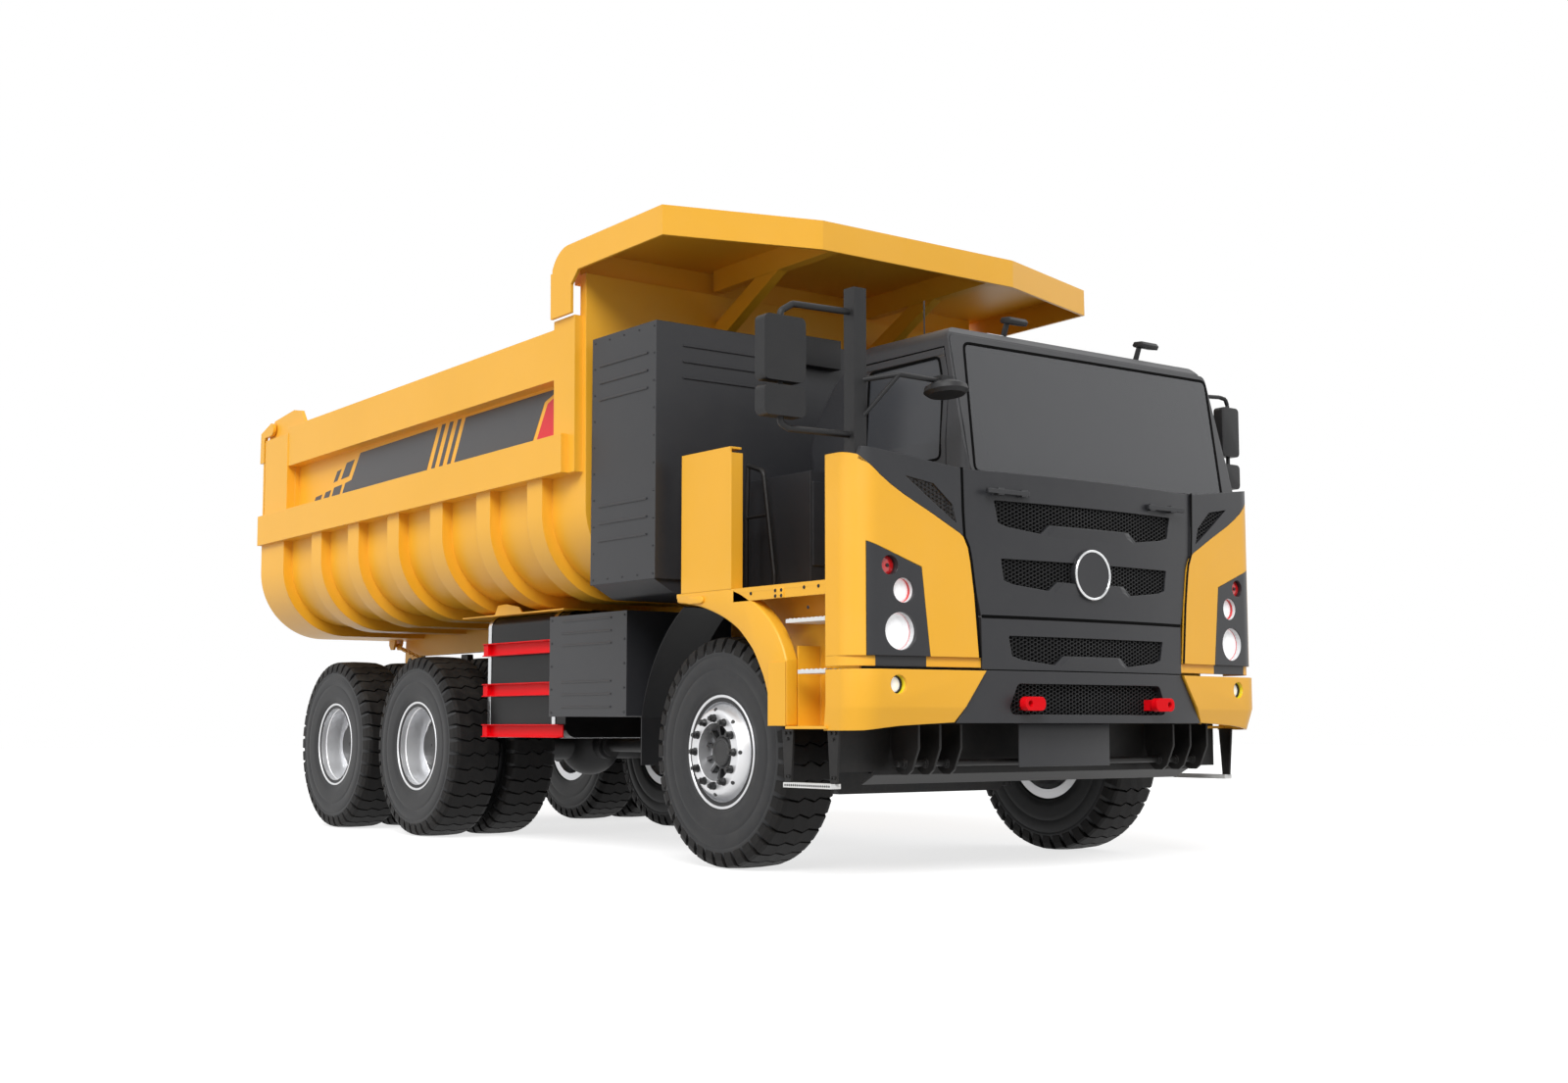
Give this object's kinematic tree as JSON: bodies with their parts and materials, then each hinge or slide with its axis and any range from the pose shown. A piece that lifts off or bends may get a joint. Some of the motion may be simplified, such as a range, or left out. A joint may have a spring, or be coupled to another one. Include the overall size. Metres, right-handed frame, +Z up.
{
  "type": "mining dump truck",
  "caption": "Six-wheeled electric mining dump truck with a cab set to the left, a canopied tipping load body and a top-hinged tailgate.",
  "frame": {"origin": "on the ground, in the middle of the overall length and width", "axes": "+Z up, the truck faces -Y, +X is its left-hand side"},
  "size_m": [4.678, 9.0483, 4.3611],
  "materials": {
    "black": "satin black paint",
    "cast": "painted black",
    "chrome": "polished",
    "dark": "satin dark grey paint",
    "glass": "tinted",
    "lens": "clear lens",
    "plastic": "grained",
    "red": "satin red paint",
    "silver": "silver paint on steel",
    "trim": "seat cloth and vinyl",
    "tyre": "matte",
    "white": "white paint",
    "yellow": "satin yellow paint"
  },
  "bodies": {
    "chassis": {"battery_cabinet": "dark", "bogie_axles": "cast", "bumper": "dark", "cab_glass": "glass", "cab_interior": "trim", "cab_shell": "dark", "chassis_frame": "black", "corner_panels": "yellow", "corner_trims": "dark", "cross_members": "black", "drive_motor": "cast", "fenders": "yellow", "frame_brackets": "black", "front_axle": "cast", "grilles": "plastic", "handrail": "black", "hood": "dark", "ladders": "black", "lamp_pods": "dark", "lamps": "lens", "leaf_springs": "black", "lower_cabinet": "dark", "lower_panel": "dark", "mirror_right": "plastic", "mudguards": "plastic", "roof_fittings": "plastic", "side_cabinets": "dark", "side_guards": "red", "side_tanks": "black", "step_treads": "white", "tank_covers": "yellow", "tow_hooks": "red", "walkway_panel": "yellow"},
    "knuckle_left": {"knuckle_left": "cast"},
    "knuckle_right": {"knuckle_right": "cast"},
    "tie_rod": {"tie_rod": "black"},
    "wheel_front_left": {"rim_front_left": "silver", "tyre_front_left": "tyre"},
    "wheels_middle_left": {"rim_middle_left": "silver", "tyres_middle_left": "tyre"},
    "wheels_rear_left": {"rim_rear_left": "silver", "tyres_rear_left": "tyre"},
    "wheel_front_right": {"rim_front_right": "silver", "tyre_front_right": "tyre"},
    "wheels_middle_right": {"rim_middle_right": "silver", "tyres_middle_right": "tyre"},
    "wheels_rear_right": {"rim_rear_right": "silver", "tyres_rear_right": "tyre"},
    "door_left": {"door_left": "dark", "door_glass_left": "glass", "mirror_left": "plastic"},
    "door_right": {"door_right": "dark", "door_glass_right": "glass"},
    "tipper": {"load_body": "yellow", "canopy": "yellow"},
    "tailgate": {"tailgate": "yellow"},
    "hoist_barrels": {"hoist_barrels": "black"},
    "hoist_stages": {"hoist_stages": "chrome"},
    "hoist_rods": {"hoist_rods": "chrome"}
  },
  "joints": [
    {"name": "steer_left", "type": "hinge", "parent": "chassis", "child": "knuckle_left", "pos_m": [1.13, -2.775, 0.7465], "axis": [0, 0, 1], "range_deg": [-35, 35]},
    {"name": "steer_right", "type": "hinge", "parent": "chassis", "child": "knuckle_right", "pos_m": [-1.13, -2.775, 0.7465], "axis": [0, 0, 1], "range_deg": [-35, 35]},
    {"name": "tie_rod_pivot", "type": "hinge", "parent": "knuckle_left", "child": "tie_rod", "pos_m": [1.09, -2.545, 0.56], "axis": [0, 0, 1], "range_deg": [-34, 34]},
    {"name": "wheel_front_left_spin", "type": "hinge", "parent": "knuckle_left", "child": "wheel_front_left", "pos_m": [1.48, -2.775, 0.7465], "axis": [1, 0, 0], "continuous": true},
    {"name": "wheels_middle_left_spin", "type": "hinge", "parent": "chassis", "child": "wheels_middle_left", "pos_m": [1.494, 1.597, 0.7465], "axis": [1, 0, 0], "continuous": true},
    {"name": "wheels_rear_left_spin", "type": "hinge", "parent": "chassis", "child": "wheels_rear_left", "pos_m": [1.494, 3.25, 0.7465], "axis": [1, 0, 0], "continuous": true},
    {"name": "wheel_front_right_spin", "type": "hinge", "parent": "knuckle_right", "child": "wheel_front_right", "pos_m": [-1.48, -2.775, 0.7465], "axis": [1, 0, 0], "continuous": true},
    {"name": "wheels_middle_right_spin", "type": "hinge", "parent": "chassis", "child": "wheels_middle_right", "pos_m": [-1.494, 1.597, 0.7465], "axis": [1, 0, 0], "continuous": true},
    {"name": "wheels_rear_right_spin", "type": "hinge", "parent": "chassis", "child": "wheels_rear_right", "pos_m": [-1.494, 3.25, 0.7465], "axis": [1, 0, 0], "continuous": true},
    {"name": "door_left_hinge", "type": "hinge", "parent": "chassis", "child": "door_left", "pos_m": [1.65, -4.075, 2.5], "axis": [0, 0, -1], "range_deg": [0, 65]},
    {"name": "door_right_hinge", "type": "hinge", "parent": "chassis", "child": "door_right", "pos_m": [-0.88, -4.075, 2.5], "axis": [0, 0, 1], "range_deg": [0, 65]},
    {"name": "tip", "type": "hinge", "parent": "chassis", "child": "tipper", "pos_m": [0, 4.125, 1.53], "axis": [-1, 0, 0], "range_deg": [0, 48]},
    {"name": "tailgate_hinge", "type": "hinge", "parent": "tipper", "child": "tailgate", "pos_m": [0, 4.23449, 3.72304], "axis": [1, 0, 0], "range_deg": [0, 70]},
    {"name": "hoist_pivot", "type": "hinge", "parent": "chassis", "child": "hoist_barrels", "pos_m": [0, 2.775, 0.75], "axis": [1, 0, 0], "range_deg": [-21.97, 0]},
    {"name": "hoist_stage_slide", "type": "slide", "parent": "hoist_barrels", "child": "hoist_stages", "axis": [0, -0.1626, 0.9867], "range_m": [0, 0.55466]},
    {"name": "hoist_rod_slide", "type": "slide", "parent": "hoist_stages", "child": "hoist_rods", "axis": [0, -0.1626, 0.9867], "range_m": [0, 0.55466]}
  ],
  "couplings": [
    {"joint": "steer_right", "follows": "steer_left", "ratio": 1},
    {"joint": "tie_rod_pivot", "follows": "steer_left", "ratio": -0.966},
    {"joint": "hoist_pivot", "follows": "tip", "ratio": -0.45748},
    {"joint": "hoist_stage_slide", "follows": "tip", "m_per_rad": 0.66148},
    {"joint": "hoist_rod_slide", "follows": "tip", "m_per_rad": 0.66148}
  ]
}
